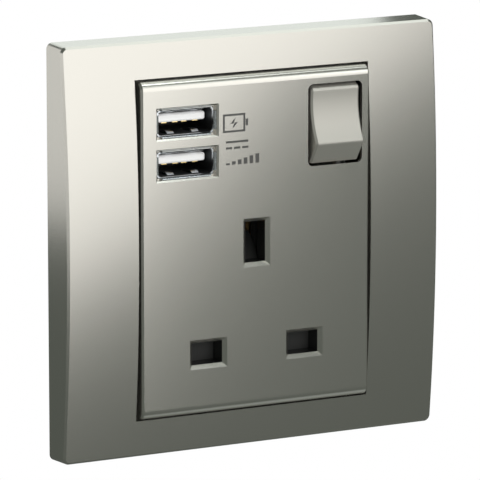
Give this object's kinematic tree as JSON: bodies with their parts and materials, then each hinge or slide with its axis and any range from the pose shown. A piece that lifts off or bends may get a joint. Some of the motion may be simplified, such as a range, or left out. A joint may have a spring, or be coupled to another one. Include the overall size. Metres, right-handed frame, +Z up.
{
  "type": "usb wall socket",
  "caption": "Square single wall socket with shuttered rectangular pin holes, a rocker switch and two stacked USB-A charging ports, on a plate with a stepped box behind the wall.",
  "frame": {"origin": "midway between the two fixing holes, on the back of the support plate, in the plane of the wall's face", "axes": "X to the right as seen from the front, Y into the wall, Z up"},
  "size_m": [0.086, 0.0358, 0.086],
  "materials": {
    "frame_paint": "satin champagne grey metallic",
    "cover_paint": "satin champagne grey metallic",
    "rocker_paint": "satin champagne grey metallic",
    "plate_steel": "zinc plated sheet",
    "housing_plastic": "moulded white",
    "retainer_plastic": "moulded white",
    "shutter_plastic": "moulded grey",
    "spring_steel": "bright wire",
    "plunger_plastic": "polished",
    "cradle_plastic": "moulded white",
    "contact_brass": "rolled sheet",
    "terminal_brass": "machined",
    "rivet_silver": "silver",
    "screw_steel": "zinc plated",
    "shell_steel": "nickel plated sheet",
    "tongue_plastic": "white",
    "usb_gold": "gold plated",
    "board_laminate": "green solder mask",
    "core_ferrite": "dark ferrite",
    "winding_tape": "yellow tape",
    "capacitor_sleeve": "black sleeve",
    "chip_resin": "black resin"
  },
  "bodies": {
    "socket": {"surround_frame": "frame_paint", "front_cover": "cover_paint", "support_plate": "plate_steel", "rear_housing": "housing_plastic", "shutter_retainer": "retainer_plastic", "switch_cradle": "cradle_plastic", "fixed_rivet": "rivet_silver", "blade_support": "contact_brass", "live_contact": "contact_brass", "neutral_contact": "contact_brass", "earth_contact": "contact_brass", "jaw_clips": "spring_steel", "live_feed": "contact_brass", "neutral_terminal": "terminal_brass", "earth_terminal": "terminal_brass", "live_terminal": "terminal_brass", "terminal_screws": "screw_steel", "earth_strap": "contact_brass", "usb_shell_upper": "shell_steel", "usb_tongue_upper": "tongue_plastic", "usb_shell_lower": "shell_steel", "usb_tongue_lower": "tongue_plastic", "usb_contacts": "usb_gold", "usb_board": "board_laminate", "transformer_core": "core_ferrite", "transformer_winding": "winding_tape", "capacitors": "capacitor_sleeve", "rectifier_chip": "chip_resin", "usb_feed_straps": "contact_brass", "assembly_screws": "screw_steel", "shutter_spring": "spring_steel"},
    "rocker": {"rocker": "rocker_paint", "rocker_plunger": "plunger_plastic", "plunger_spring": "spring_steel"},
    "blade": {"switch_blade": "contact_brass", "moving_rivet": "rivet_silver"},
    "shutter": {"shutter": "shutter_plastic"}
  },
  "joints": [
    {"name": "rocker_tilt", "type": "hinge", "parent": "socket", "child": "rocker", "pos_m": [0.01816, -0.0013, 0.02317], "axis": [1, 0, 0], "range_deg": [0, 24]},
    {"name": "blade_tilt", "type": "hinge", "parent": "socket", "child": "blade", "pos_m": [0.01816, 0.00785, 0.02317], "axis": [1, 0, 0], "range_deg": [-18, 0]},
    {"name": "shutter_slide", "type": "slide", "parent": "socket", "child": "shutter", "axis": [0, 0, -1], "range_m": [0, 0.0052], "stiffness_N_per_m": 60, "springref_m": -0.002, "deforming": ["shutter_spring"]}
  ],
  "couplings": [
    {"joint": "blade_tilt", "follows": "rocker_tilt", "ratio": -0.75}
  ]
}
